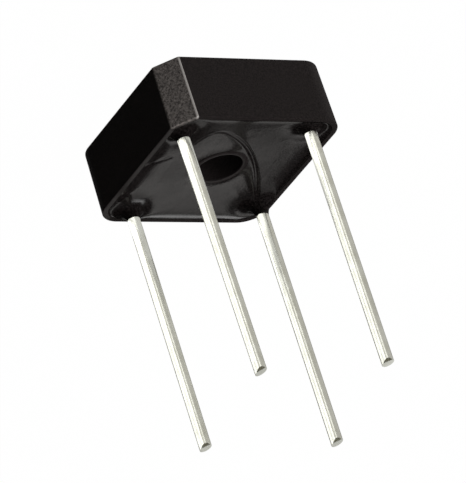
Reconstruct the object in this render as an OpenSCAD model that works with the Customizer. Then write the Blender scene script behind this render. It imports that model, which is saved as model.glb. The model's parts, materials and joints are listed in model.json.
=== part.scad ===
// Square bridge rectifier with four round wire leads and a central screw hole.
// A moulded cup holds four silicon dice between bent metal straps, and potting fills it.
// The closed flat face, which goes against the chassis, lies on z = 0 and the leads point up.

/* [Case] */
// Side of the square case, measured at its open rim
body_w = 15.2; // [14.8:0.1:16]
// Height of the case, from the flat face to the rim
body_h = 5.6; // [5.5:0.1:6.9]
// How much each side leans in between the rim and the flat face
draft = 0.1; // [0.05:0.05:0.2]
// Radius of the three plain corners
corner_r = 2.1; // [1.9:0.1:2.4]
// Length that the polarity bevel takes off the side along x
bevel_x = 1.55; // [1.2:0.05:1.8]
// Length that the polarity bevel takes off the side along y
bevel_y = 1.7; // [1.2:0.05:2]
// Thickness of the side walls
wall_t = 0.5; // [0.4:0.05:0.6]
// Thickness of the closed face
floor_t = 1; // [0.8:0.1:1.2]
// Size of the small broken edge round the flat face
foot_edge = 0.15; // [0.1:0.05:0.25]

/* [Screw hole] */
// Diameter of the through hole
hole_d = 3.8; // [3.6:0.1:4]
// Wall of the tube that keeps the potting out of the hole
boss_wall = 0.45; // [0.4:0.05:0.6]

/* [Leads] */
// Diameter of the lead wire
lead_d = 1; // [0.95:0.01:1.05]
// Side of the square that the leads stand on
lead_pitch = 11.1; // [10.9:0.1:11.2]
// How far the lead square is turned from square with the case, in degrees
lead_turn = 6.4; // [5:0.1:7]
// Angle that the positive lead leans over, in degrees
lead_lean = 0.5; // [0:0.1:0.5]
// Direction that the positive lead leans towards, in degrees from +x
lean_towards = 28; // [0:1:90]
// Width of the pressed foot of each lead
foot_w = 1.2; // [1.1:0.05:1.2]
// Thickness of the pressed foot of each lead
foot_t = 0.6; // [0.5:0.05:0.6]

/* [Potting] */
// How far the middle of the potting lies below the rim
fill_drop = 0.5; // [0.4:0.05:0.7]
// How far the potting at the walls stays below the rim
wall_drop = 0.12; // [0.1:0.02:0.2]
// Width of the curve where the potting climbs a wall
climb_w = 0.8; // [0.5:0.1:1]
// How far the potting spreads round each lead
neck_spread = 1.3; // [1.2:0.1:1.4]

/* [Rectifier stack] */
// Side of each silicon die
die_w = 2.2; // [1.8:0.1:2.4]
// Thickness of each silicon die
die_t = 0.25; // [0.2:0.01:0.3]
// Thickness of each solder joint
solder_t = 0.08; // [0.05:0.01:0.1]
// Width of the connecting straps
strap_w = 2; // [1.8:0.1:2]
// Thickness of the connecting straps
strap_t = 0.35; // [0.3:0.01:0.4]
// Gap between the closed face and the lower straps
stack_gap = 0.4; // [0.3:0.05:0.5]

/* [Hidden] */
$fn = 64;

// The four leads go clockwise from the bevelled corner: positive, AC, negative, AC.
positive = 0;
ac_1 = 1;
negative = 2;
ac_2 = 3;

// Each lead's own small step off the true square, its height above the rim,
// the height its potting neck reaches above the rim, and the slant of its sheared end.
lead_step = [[0.06, 0.05], [0, 0], [0.1, 0.07], [0, 0]];
lead_stand = [21.25, 21.15, 21.9, 21.4];
neck_stand = [0.37, 0.28, 0.95, 0.62];
shear_slant = [16, 8, 14, 12];
shear_towards = 28;

half_w = body_w / 2;
hole_r = hole_d / 2;
boss_r = hole_r + boss_wall;
lead_r = lead_d / 2;
fill_z = body_h - fill_drop;
climb_h = fill_drop - wall_drop;
shank_z = body_h;
shank_lap = 0.02;
tip_z = body_h + max(lead_stand);

lower_strap_z = floor_t + stack_gap;
die_z = lower_strap_z + strap_t + solder_t;
upper_strap_z = die_z + die_t + solder_t;
strap_zs = [lower_strap_z, upper_strap_z, lower_strap_z, upper_strap_z];

// Place of a lead in plan, before the lead square is turned, and its place in the case.
function lead_home(i) = [[-1, 1], [1, 1], [1, -1], [-1, -1]][i] * lead_pitch / 2;
function turned(p, a) = [p.x * cos(a) - p.y * sin(a), p.x * sin(a) + p.y * cos(a)];
function lead_xy(i) = turned(lead_home(i), lead_turn) + lead_step[i];

module slab(z0, z1) translate([0, 0, z0]) linear_extrude(z1 - z0) children();

// Case outline in plan, set in from the rim's outline by inset.
// The corner at -x, +y carries the polarity bevel and the other three are round.
module case_outline(inset, fine = $fn) {
    w = half_w - inset;
    r = corner_r - inset;
    difference() {
        union() {
            square([2 * w, 2 * (w - r)], center = true);
            square([2 * (w - r), 2 * w], center = true);
            for (p = [[1, 1], [1, -1], [-1, -1]]) translate(p * (w - r)) circle(r, $fn = fine);
            translate([-w, w - r]) square(r);
        }
        bevel_cut(inset);
    }
}

// Half-plane outside the bevel, moved in by inset.
module bevel_cut(inset) {
    a = atan2(bevel_y, bevel_x);
    far = 2 * corner_r;
    translate([-half_w, half_w - bevel_y]) rotate(a) translate([-far, -inset]) square([3 * far, far]);
}

// The outer shell tapers from the rim down to the flat face, with a small broken edge there.
module shell() {
    foot_inset = draft + foot_edge;
    skin = 0.01;
    hull() {
        slab(0, skin) case_outline(foot_inset, 32);
        slab(foot_edge, foot_edge + skin) case_outline(draft, 32);
        slab(body_h - skin, body_h) case_outline(0, 32);
    }
}

module case() {
    color("#1c1a1a") difference() {
        shell();
        difference() {
            slab(floor_t, body_h + 1) case_outline(wall_t);
            cylinder(r = boss_r, h = body_h);
        }
        translate([0, 0, -1]) cylinder(r = hole_r, h = body_h + 2);
    }
}

// Curve of potting climbing a surface: x runs away from the surface and y up.
climb_steps = 5;
function climb(t) = [climb_w * pow(1 - t, 2), climb_h * t];
climb_curve = concat([[-0.2, -0.5], [climb_w, -0.5]],
    [for (i = [0:climb_steps]) climb(i / climb_steps)], [[-0.2, climb_h]]);

// Potting drawn up along the straight walls, the bevel and the three round corners.
module wall_climb() {
    w = half_w - wall_t;
    r = corner_r - wall_t;
    bevel_a = atan2(bevel_y, bevel_x);
    for (a = [0:90:270]) rotate(a) translate([w, 0, fill_z]) climb_bar(2 * w);
    translate([-half_w, half_w - bevel_y, fill_z]) rotate(bevel_a) translate([0, -wall_t, 0]) rotate(90)
        climb_bar(6 * bevel_x);
    for (k = [0, 2, 3]) rotate(90 * k) translate([w - r, w - r, fill_z]) rotate_extrude(angle = 90)
        intersection() {
            translate([r, 0]) mirror([1, 0]) polygon(climb_curve);
            translate([0, -1]) square([r + 1, 3]);
        }
}

// Straight length of the climbing curve, with its wall on the plane x = 0 and the potting at -x.
module climb_bar(length) rotate([90, 0, 0]) linear_extrude(length, center = true)
    mirror([1, 0]) polygon(climb_curve);

// Potting drawn up round the boss.
module boss_climb() translate([0, 0, fill_z]) rotate_extrude()
    translate([boss_r, 0]) polygon(climb_curve);

// Potting drawn up a lead, as a neck that thins towards its top.
neck_steps = 7;
neck_film = 0.03;
module neck(i) {
    h = fill_drop + neck_stand[i];
    curve = [for (k = [0:neck_steps])
        let (t = k / neck_steps) [lead_r + neck_film + neck_spread * pow(1 - t, 2), h * t]];
    translate([lead_xy(i).x, lead_xy(i).y, fill_z]) rotate_extrude()
        polygon(concat([[0, -1], [curve[0].x, -1]], curve, [[0, h]]));
}

module potting_compound() {
    color("#2a2727") difference() {
        intersection() {
            union() {
                slab(floor_t, fill_z) square(body_w, center = true);
                wall_climb();
                boss_climb();
                for (i = [0:3]) neck(i);
            }
            slab(floor_t, tip_z) case_outline(wall_t);
        }
        cylinder(r = boss_r, h = body_h);
        for (i = [0:3]) {
            lead(i);
            strap(i);
            die(i);
            die_solder(i, die_z - solder_t);
            die_solder(i, die_z + die_t);
            lead_solder(i);
        }
    }
}

// Lead: a round wire whose end inside the potting is pressed flat and bent into a foot.
module lead(i) {
    z0 = strap_zs[i] + strap_t + solder_t;
    lean = i == positive ? lead_lean : 0;
    difference() {
        translate([lead_xy(i).x, lead_xy(i).y, 0]) {
            translate([0, 0, shank_z]) rotate([0, 0, lean_towards]) rotate([0, lean, 0])
                cylinder(r = lead_r, h = lead_stand[i] + 1);
            rotate(foot_angle(i)) {
                slab(z0, shank_z + shank_lap) square([foot_t, foot_w], center = true);
                slab(z0, z0 + foot_t / 2) foot_plan();
            }
        }
        sheared_end(i, lean);
    }
}

// The foot points from its lead towards the screw hole.
function foot_angle(i) = lead_turn - 45 - 90 * i;
module foot_plan() translate([-foot_t / 2, -foot_w / 2]) square([foot_t + 0.8, foot_w]);

// Everything above the slanted plane that the cutter leaves on a lead.
module sheared_end(i, lean) {
    z = body_h + lead_stand[i];
    drift = tan(lean) * lead_stand[i] * [cos(lean_towards), sin(lean_towards)];
    translate([lead_xy(i).x + drift.x, lead_xy(i).y + drift.y, z - lead_r * tan(shear_slant[i])])
        rotate([0, 0, shear_towards]) rotate([0, shear_slant[i], 0])
            translate([-3, -3, 0]) cube([6, 6, 6]);
}

module lead_solder(i) translate([lead_xy(i).x, lead_xy(i).y, 0]) rotate(foot_angle(i))
    slab(strap_zs[i] + strap_t, strap_zs[i] + strap_t + solder_t) foot_plan();

// L-shaped strap round one corner, from the die before its lead to the die after it.
module strap(i) {
    c = lead_pitch / 2;
    inner = c - strap_w / 2;
    outer = c + strap_w / 2;
    end = die_w / 2;
    corner = c + 0.35 * strap_w;
    trim = 0.6 * strap_w;
    slab(strap_zs[i], strap_zs[i] + strap_t) rotate(lead_turn - 90 * i)
        polygon([[end, inner], [end, outer], [-corner + trim, outer], [-corner, outer - trim],
            [-corner, -end], [-inner, -end], [-inner, inner]]);
}

// Die i sits half-way between lead i and the next one, over or under both their straps.
module at_die(i) rotate(lead_turn - 90 * i) translate([0, lead_pitch / 2, 0]) children();
module die(i) at_die(i) slab(die_z, die_z + die_t) square(die_w, center = true);
module die_solder(i, z) at_die(i) slab(z, z + solder_t) square(die_w, center = true);

module lead_positive() color("#e6e3d6") lead(positive);
module lead_ac_1() color("#e6e3d6") lead(ac_1);
module lead_negative() color("#e6e3d6") lead(negative);
module lead_ac_2() color("#e6e3d6") lead(ac_2);
module strap_positive() color("#b8733a") strap(positive);
module strap_ac_1() color("#b8733a") strap(ac_1);
module strap_negative() color("#b8733a") strap(negative);
module strap_ac_2() color("#b8733a") strap(ac_2);
module die_positive_ac_1() color("#5b6068") die(0);
module die_ac_1_negative() color("#5b6068") die(1);
module die_negative_ac_2() color("#5b6068") die(2);
module die_ac_2_positive() color("#5b6068") die(3);
module solder_under_die(i) color("#a9abad") die_solder(i, die_z - solder_t);
module solder_over_die(i) color("#a9abad") die_solder(i, die_z + die_t);
module lead_joint(i) color("#a9abad") lead_solder(i);

case();
potting_compound();
lead_positive();
lead_ac_1();
lead_negative();
lead_ac_2();
strap_positive();
strap_ac_1();
strap_negative();
strap_ac_2();
die_positive_ac_1();
die_ac_1_negative();
die_negative_ac_2();
die_ac_2_positive();
solder_under_die(0);  // solder_under_die_1
solder_under_die(1);  // solder_under_die_2
solder_under_die(2);  // solder_under_die_3
solder_under_die(3);  // solder_under_die_4
solder_over_die(0);  // solder_over_die_1
solder_over_die(1);  // solder_over_die_2
solder_over_die(2);  // solder_over_die_3
solder_over_die(3);  // solder_over_die_4
lead_joint(positive);  // solder_lead_positive
lead_joint(ac_1);  // solder_lead_ac_1
lead_joint(negative);  // solder_lead_negative
lead_joint(ac_2);  // solder_lead_ac_2
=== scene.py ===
import json
import math

import bmesh
import bpy
import numpy as np
from mathutils import Matrix, Vector

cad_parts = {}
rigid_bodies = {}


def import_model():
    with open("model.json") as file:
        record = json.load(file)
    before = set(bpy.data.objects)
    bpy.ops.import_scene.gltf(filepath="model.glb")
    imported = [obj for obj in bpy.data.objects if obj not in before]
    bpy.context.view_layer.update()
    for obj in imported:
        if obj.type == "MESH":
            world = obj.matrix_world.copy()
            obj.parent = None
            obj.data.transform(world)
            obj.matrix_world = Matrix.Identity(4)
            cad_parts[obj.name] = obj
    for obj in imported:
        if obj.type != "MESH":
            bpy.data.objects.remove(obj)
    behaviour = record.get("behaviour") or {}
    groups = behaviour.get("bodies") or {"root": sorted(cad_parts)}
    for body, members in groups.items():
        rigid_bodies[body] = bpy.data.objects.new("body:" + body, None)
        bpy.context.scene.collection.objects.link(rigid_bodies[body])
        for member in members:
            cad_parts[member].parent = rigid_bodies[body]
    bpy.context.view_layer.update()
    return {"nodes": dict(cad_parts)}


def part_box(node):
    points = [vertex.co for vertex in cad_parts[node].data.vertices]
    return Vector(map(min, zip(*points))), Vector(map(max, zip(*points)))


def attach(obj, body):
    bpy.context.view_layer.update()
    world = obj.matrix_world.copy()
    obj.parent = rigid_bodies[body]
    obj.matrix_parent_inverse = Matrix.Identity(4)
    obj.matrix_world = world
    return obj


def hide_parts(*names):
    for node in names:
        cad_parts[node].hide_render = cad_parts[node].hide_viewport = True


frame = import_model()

bl_info = {
    "name": "Square bridge rectifier",
    "version": (1, 0, 0),
    "blender": (4, 5, 0),
    "location": "View3D > Sidebar > Rectifier",
    "description": "Builds the visible pieces of a potted square bridge rectifier round its CAD frame",
    "category": "Object",
}

MM = 0.001
CASE_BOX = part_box("case")
RIM = CASE_BOX[1].z
LEAD_NAMES = ("lead_positive", "lead_ac_1", "lead_negative", "lead_ac_2")
# The next five have one value for each lead, in the order of their names.
# Small step of each lead off the true square.
LEAD_STEPS = ((0.06 * MM, 0.05 * MM), (0.0, 0.0), (0.1 * MM, 0.07 * MM), (0.0, 0.0))
# Height of its neck of potting above the rim.
NECK_STANDS = (0.37 * MM, 0.28 * MM, 0.95 * MM, 0.62 * MM)
# Length of wire above the rim, and the slant of its sheared end in degrees.
LEAD_STANDS = (21.25 * MM, 21.15 * MM, 21.9 * MM, 21.4 * MM)
SHEAR_SLANTS = (16.0, 8.0, 14.0, 12.0)
# Height of the top face of its strap joint, where its pressed foot starts.
FOOT_BASES = (1.83 * MM, 2.59 * MM, 1.83 * MM, 2.59 * MM)
# In plan, in mm: the seam where two pours met, and the ridge drawn out from the wall.
SEAM_POINTS = ((-4.0, 3.2), (-3.3, 5.9), (-1.3, 4.6), (2.9, 2.3), (5.8, -4.6))
RIDGE_POINTS = ((-7.2, 0.1), (-6.2, 0.6), (-5.2, 1.3))


def linear(hex_colour):
    """sRGB hex to the linear colour, with alpha, that Blender's sockets take."""
    parts = [int(hex_colour[k:k + 2], 16) / 255 for k in (1, 3, 5)]
    return (*(c / 12.92 if c <= 0.04045 else ((c + 0.055) / 1.055) ** 2.4 for c in parts), 1.0)


def shaded(tone, share):
    """The same colour with its light scaled by share."""
    return (*(c * share for c in tone[:3]), 1.0)


def length(name, description, default):
    return bpy.props.FloatProperty(name=name, description=description, default=default,
                                   min=0.0, unit="LENGTH", precision=5)


def angle(name, description, degrees):
    return bpy.props.FloatProperty(name=name, description=description,
                                   default=math.radians(degrees), unit="ROTATION")


def colour(name, description, hex_colour):
    return bpy.props.FloatVectorProperty(name=name, description=description, subtype="COLOR", size=4,
                                         min=0.0, max=1.0, default=linear(hex_colour))


class CaseSettings(bpy.types.PropertyGroup):
    """Sizes and colours of the moulded case."""
    width: length("Width", "Side of the square case at its rim", CASE_BOX[1].x - CASE_BOX[0].x)
    height: length("Height", "From the flat face to the rim", RIM)
    draft: length("Draft", "How far each side leans in towards the flat face", 0.1 * MM)
    corner: length("Corner radius", "Radius of the three plain corners", 2.1 * MM)
    bevel_x: length("Bevel along x", "Length the polarity bevel takes off the side along x", 1.55 * MM)
    bevel_y: length("Bevel along y", "Length the polarity bevel takes off the side along y", 1.7 * MM)
    bevel_edge: length("Bevel edge radius", "Rounding of the two upright edges of the bevel", 0.25 * MM)
    wall: length("Wall", "Thickness of the side walls", 0.5 * MM)
    floor: length("Closed face", "Thickness of the closed face", 1.0 * MM)
    foot_edge: length("Foot edge", "Rounding round the flat face", 0.15 * MM)
    rim_edge: length("Rim edge", "Rounding of the rim's edges", 0.07 * MM)
    hole: length("Hole diameter", "Diameter of the screw hole", 3.8 * MM)
    boss_wall: length("Boss wall", "Wall of the tube round the screw hole", 0.45 * MM)
    boss_drop: length("Boss drop", "How far the tube ends below the rim", 0.24 * MM)
    plastic: colour("Plastic", "Black moulding compound", "#2e2929")
    # Partly painted light: the bevel's coarser skin is coloured a paler grey than the plastic, to stand in
    # for the light the bevel catches.
    bevel_grain_and_light: colour("Bevel plastic", "Greyer, coarser skin on the bevel", "#aaa39f")
    # Painted highlight: a pale line painted along the edge beside the bevel, in place of the glint that this
    # rounded edge catches.
    worn: colour("Worn edge", "Pale scuffed edge beside the bevel", "#c9c5c2")


class PottingSettings(bpy.types.PropertyGroup):
    """Sizes and colours of the epoxy that fills the case."""
    drop: length("Fill drop", "How far the middle of the potting lies below the rim", 0.37 * MM)
    climb: length("Climb", "How far the potting is drawn up the walls", 0.16 * MM)
    climb_reach: length("Climb reach", "Distance over which the climb fades", 0.3 * MM)
    shrink: length("Shrink", "Further rise towards the walls that curing leaves", 0.2 * MM)
    shrink_reach: length("Shrink reach", "Distance over which that rise fades", 2.2 * MM)
    neck_reach: length("Neck reach", "Distance over which a lead's neck fades", 0.6 * MM)
    ripple: length("Ripple", "Height of the slow unevenness of the cured surface", 0.016 * MM)
    seam_depth: length("Seam depth", "Depth of the furrow where two pours met", 0.05 * MM)
    seam_width: length("Seam width", "Half width of that furrow", 0.14 * MM)
    side_rise: length("Side rise", "Height of the rounded band along the -x wall", 0.16 * MM)
    side_reach: length("Side reach", "Width of that band", 0.8 * MM)
    ridge_height: length("Ridge height", "Height of the ridge drawn out from the wall", 0.024 * MM)
    ridge_width: length("Ridge width", "Half width of that ridge", 0.22 * MM)
    epoxy: colour("Epoxy", "Poured black epoxy", "#141111")


class LeadSettings(bpy.types.PropertyGroup):
    """Sizes and colours of the four wires."""
    diameter: length("Diameter", "Diameter of the wire", 1.0 * MM)
    pitch: length("Pitch", "Side of the square the wires stand on", 11.1 * MM)
    turn: angle("Turn", "How far that square is turned in the case", 6.4)
    lean: angle("Lean", "Lean of the positive wire", 0.5)
    lean_towards: angle("Lean towards", "Direction of that lean, and of each cut's short side", 28.0)
    foot_width: length("Foot width", "Width of the pressed foot", 1.2 * MM)
    foot_thickness: length("Foot thickness", "Thickness of the pressed foot", 0.6 * MM)
    foot_reach: length("Foot reach", "How far the foot runs beyond its wire", 0.8 * MM)
    tin: colour("Tin", "Tinned skin of the wire", "#eff0e6")
    tin_shade: colour("Tin shade", "Duller streaks in the tin", "#dcdccf")
    # Painted shade: the burr's dark colour stands in for the dark that the rolled edge of each cut mirrors.
    burr: colour("Burr", "Smeared metal on the near edge of each cut", "#85836f")


class InnerSettings(bpy.types.PropertyGroup):
    """Colours of the pieces sealed in the potting."""
    copper: colour("Copper", "Stamped copper straps", "#c67f52")
    silicon: colour("Silicon", "Sawn silicon dice", "#5b6068")
    solder: colour("Solder", "Solder joints", "#b4b6b8")


class StageSettings(bpy.types.PropertyGroup):
    """The camera's place and the floor's colour."""
    azimuth: angle("Azimuth", "Direction of the camera from +x", 126.606)
    elevation: angle("Elevation", "Height of the camera over the floor", 26.661)
    roll: angle("Roll", "Turn of the camera round its own line of sight", 161.998)
    distance: length("Distance", "From the camera to its aim point", 400.0 * MM)
    lens: bpy.props.FloatProperty(name="Lens", description="Focal length", default=380.2, unit="CAMERA")
    floor: colour("Floor", "Pale studio floor", "#f4f4f4")


SETTINGS = {"rectifier_case": CaseSettings, "rectifier_potting": PottingSettings,
            "rectifier_leads": LeadSettings, "rectifier_inner": InnerSettings,
            "rectifier_stage": StageSettings}


def node(tree, kind, inputs=None, **settings):
    """Adds one node with its settings. An input takes a plain value, a socket, another node, whose
    first output in use is linked, or a list of nodes where the socket joins them. A Mix node's
    inputs are numbered: 0 is its factor, 2 and 3 are numbers, 6 and 7 are colours."""
    made = tree.nodes.new(kind)
    for name, value in settings.items():
        setattr(made, name, value)
    for key, value in (inputs or {}).items():
        for source in value if isinstance(value, list) else [value]:
            if isinstance(source, bpy.types.Node):
                source = next(socket for socket in source.outputs if socket.enabled)
            if isinstance(source, bpy.types.NodeSocket):
                tree.links.new(source, made.inputs[key])
            else:
                made.inputs[key].default_value = source
    return made


def blank_material(name):
    """A material and its tree, with no nodes yet."""
    made = bpy.data.materials.new(name)
    made.use_nodes = True
    made.node_tree.nodes.clear()
    return made, made.node_tree


# --- materials -------------------------------------------------------------------------------
# A noise scale of 9 / MM draws nine grains to the millimetre.

def moulded_plastic(s):
    """Glass-filled black moulding compound: a dull, very dark skin with a fine grain that only
    shows as a soft sparkle, a coarser skin on the bevel that is also painted a paler grey to stand
    in for the light the bevel catches, a painted highlight in pale grey along the edge beside it,
    broken up by a soft cloud, and a rubbed, glossier rim. The filler's grains are a few hundredths
    of a millimetre wide; they are drawn nine to the millimetre, and six on the bevel, so that they show."""
    made, tree = blank_material("black_moulding_compound")
    place = node(tree, "ShaderNodeTexCoord").outputs["Object"]
    on_bevel, on_edge_highlight, on_rim = (node(tree, "ShaderNodeAttribute", attribute_name=name).outputs["Fac"]
                                 for name in ("bevel", "worn", "rim"))
    fine = node(tree, "ShaderNodeTexNoise", {
        "Vector": place, "Scale": 9 / MM, "Detail": 4.0, "Roughness": 0.65})
    coarse = node(tree, "ShaderNodeTexNoise", {
        "Vector": place, "Scale": 6 / MM, "Detail": 3.0, "Roughness": 0.75})
    cloud = node(tree, "ShaderNodeTexNoise", {"Vector": place, "Scale": 0.32 / MM, "Detail": 3.0})
    fleck = node(tree, "ShaderNodeMapRange", {"Value": fine, "From Min": 0.38, "From Max": 0.6})
    skin = node(tree, "ShaderNodeMix", {
        0: fleck, 6: shaded(s.plastic, 0.4), 7: s.plastic}, data_type="RGBA")
    # Partly painted light: the bevel is speckled with a paler grey, its coarser grain painted lighter to
    # stand in for the light it catches.
    speck = node(tree, "ShaderNodeMapRange", {"Value": coarse, "From Min": 0.36, "From Max": 0.7})
    rough_skin_and_light = node(tree, "ShaderNodeMix", {0: speck, 6: s.plastic, 7: s.bevel_grain_and_light}, data_type="RGBA")
    both = node(tree, "ShaderNodeMix", {0: on_bevel, 6: skin, 7: rough_skin_and_light}, data_type="RGBA")
    # Painted highlight: the pale edge colour stands in for the glint on the rounded edge beside the bevel,
    # broken up by a soft cloud.
    highlight_breakup = node(tree, "ShaderNodeMapRange", {
        "Value": cloud, "From Min": 0.25, "From Max": 0.45, "To Min": 0.55, "To Max": 1.0})
    worn = node(tree, "ShaderNodeMath", {0: on_edge_highlight, 1: highlight_breakup}, operation="MULTIPLY")
    base = node(tree, "ShaderNodeMix", {0: worn, 6: both, 7: s.worn}, data_type="RGBA")
    gloss = node(tree, "ShaderNodeMapRange", {"Value": fine, "To Min": 0.5, "To Max": 0.72})
    rubbed = node(tree, "ShaderNodeMapRange", {"Value": on_rim, "To Min": 1.0, "To Max": 0.55})
    rough = node(tree, "ShaderNodeMath", {0: gloss, 1: rubbed}, operation="MULTIPLY")
    grain = node(tree, "ShaderNodeMix", {0: on_bevel, 2: fine, 3: coarse})
    depth = node(tree, "ShaderNodeMapRange", {"Value": on_bevel, "To Min": 0.024 * MM, "To Max": 0.03 * MM})
    bump = node(tree, "ShaderNodeBump", {"Height": grain, "Distance": depth, "Strength": 0.6})
    shiny = node(tree, "ShaderNodeMath", {0: on_bevel, 1: on_rim}, operation="MAXIMUM")
    sheen = node(tree, "ShaderNodeMapRange", {"Value": shiny, "To Min": 0.1, "To Max": 0.5})
    shader = node(tree, "ShaderNodeBsdfPrincipled", {
        "Base Color": base, "Roughness": rough, "Normal": bump, "Specular IOR Level": sheen})
    node(tree, "ShaderNodeOutputMaterial", {"Surface": shader})
    return made


def poured_epoxy(s):
    """Black potting epoxy: glassy where it set freely, so it mirrors the wires and the rim as soft
    bent streaks, with a faint orange-peel wave, a few dull patches, and less sheen on the second
    pour. Its filler is hundredths of a millimetre wide, and is drawn six to the millimetre to show."""
    made, tree = blank_material("black_potting_epoxy")
    place = node(tree, "ShaderNodeTexCoord").outputs["Object"]
    second = node(tree, "ShaderNodeAttribute", attribute_name="second_pour").outputs["Fac"]
    wave = node(tree, "ShaderNodeTexNoise", {
        "Vector": place, "Scale": 0.7 / MM, "Detail": 2.0, "Roughness": 0.45})
    patch = node(tree, "ShaderNodeTexNoise", {
        "Vector": place, "Scale": 0.26 / MM, "Detail": 3.0, "Roughness": 0.6})
    filler = node(tree, "ShaderNodeTexNoise", {"Vector": place, "Scale": 6 / MM, "Detail": 2.0})
    fleck = node(tree, "ShaderNodeMapRange", {"Value": filler, "From Min": 0.38, "From Max": 0.62})
    base = node(tree, "ShaderNodeMix", {
        0: fleck, 6: shaded(s.epoxy, 0.6), 7: shaded(s.epoxy, 2.2)}, data_type="RGBA")
    gloss = node(tree, "ShaderNodeMapRange", {
        "Value": patch, "From Min": 0.3, "From Max": 0.75, "To Min": 0.1, "To Max": 0.2})
    swell = node(tree, "ShaderNodeBump", {"Height": wave, "Distance": 0.03 * MM, "Strength": 0.5})
    bump = node(tree, "ShaderNodeBump", {
        "Height": filler, "Distance": 0.008 * MM, "Strength": 0.6, "Normal": swell})
    sheen = node(tree, "ShaderNodeMapRange", {"Value": second, "To Min": 0.45, "To Max": 0.26})
    shader = node(tree, "ShaderNodeBsdfPrincipled", {
        "Base Color": base, "Roughness": gloss, "Normal": bump, "Specular IOR Level": sheen})
    node(tree, "ShaderNodeOutputMaterial", {"Surface": shader})
    return made


def tinned_wire(s):
    """Drawn copper wire with a tin coat: a satin white metal whose faint draw lines run along it
    and pull highlights into long streaks. The burr of each cut is smeared and less metallic; its
    darker colour is painted shade for the dark that its rolled edge mirrors. The draw lines are
    hundredths of a millimetre wide; they are drawn fourteen to the millimetre so that they show."""
    made, tree = blank_material("tinned_copper_wire")
    place = node(tree, "ShaderNodeTexCoord").outputs["Object"]
    on_burr_shade = node(tree, "ShaderNodeAttribute", attribute_name="burr").outputs["Fac"]
    drawn_out = node(tree, "ShaderNodeMapping", {"Vector": place, "Scale": (1.0, 1.0, 0.03)})
    lines = node(tree, "ShaderNodeTexNoise", {"Vector": drawn_out, "Scale": 14 / MM, "Detail": 3.0})
    stain = node(tree, "ShaderNodeTexNoise", {
        "Vector": place, "Scale": 0.9 / MM, "Detail": 4.0, "Roughness": 0.6})
    shade = node(tree, "ShaderNodeMapRange", {"Value": stain, "From Min": 0.35, "From Max": 0.7})
    tin = node(tree, "ShaderNodeMix", {0: shade, 6: s.tin, 7: s.tin_shade}, data_type="RGBA")
    # Painted shade: on the burr the tin is coloured dark, for the dark that its rolled edge mirrors.
    base = node(tree, "ShaderNodeMix", {0: on_burr_shade, 6: tin, 7: s.burr}, data_type="RGBA")
    gloss = node(tree, "ShaderNodeMapRange", {
        "Value": lines, "From Min": 0.3, "From Max": 0.7, "To Min": 0.24, "To Max": 0.32})
    bump = node(tree, "ShaderNodeBump", {"Height": lines, "Distance": 0.002 * MM, "Strength": 0.5})
    clean = node(tree, "ShaderNodeMapRange", {"Value": on_burr_shade, "To Min": 1.0, "To Max": 0.3})
    shader = node(tree, "ShaderNodeBsdfPrincipled", {
        "Base Color": base, "Roughness": gloss, "Normal": bump, "Metallic": clean})
    node(tree, "ShaderNodeOutputMaterial", {"Surface": shader})
    return made


def sealed_material(name, tone, metallic, rough, per_mm):
    """A piece sealed in the epoxy: its colour breaks into darker mottles, so many to the
    millimetre, where metal has tarnished or the saw has left silicon duller."""
    made, tree = blank_material(name)
    place = node(tree, "ShaderNodeTexCoord").outputs["Object"]
    mottle = node(tree, "ShaderNodeTexNoise", {
        "Vector": place, "Scale": per_mm / MM, "Detail": 5.0, "Roughness": 0.6})
    base = node(tree, "ShaderNodeMix", {0: mottle, 6: shaded(tone, 0.6), 7: tone}, data_type="RGBA")
    gloss = node(tree, "ShaderNodeMapRange", {"Value": mottle, "To Min": rough, "To Max": rough + 0.15})
    bump = node(tree, "ShaderNodeBump", {"Height": mottle, "Distance": 0.01 * MM, "Strength": 0.5})
    shader = node(tree, "ShaderNodeBsdfPrincipled", {
        "Base Color": base, "Roughness": gloss, "Normal": bump, "Metallic": metallic})
    node(tree, "ShaderNodeOutputMaterial", {"Surface": shader})
    return made


# --- meshes ----------------------------------------------------------------------------------

# Steps along a plain side, along the bevel, round a plain corner and round an edge of the bevel.
SIDE_STEPS, BEVEL_STEPS, CORNER_STEPS, EDGE_STEPS = 96, 24, 24, 6
# Steps round an edge's rounding, up the case's outside, down its inside, up the boss, down the hole.
ROUND_STEPS, OUTER_STEPS, INNER_STEPS, BOSS_STEPS, HOLE_STEPS = 4, 16, 10, 10, 12
# Steps of the potting from the boss to the walls, and down its sides.
SPAN_STEPS, DEPTH_STEPS = 110, 4
# Place of the bevel among the five sides, anticlockwise from +x.
BEVEL = 2
# Faces that meet at more than this keep a hard edge.
CREASE = math.radians(35)


def spread(start, end, steps):
    """Numbers from start to end that crowd towards both ends."""
    return [start + (end - start) * (1 - math.cos(math.pi * k / steps)) / 2 for k in range(steps + 1)]


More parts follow.
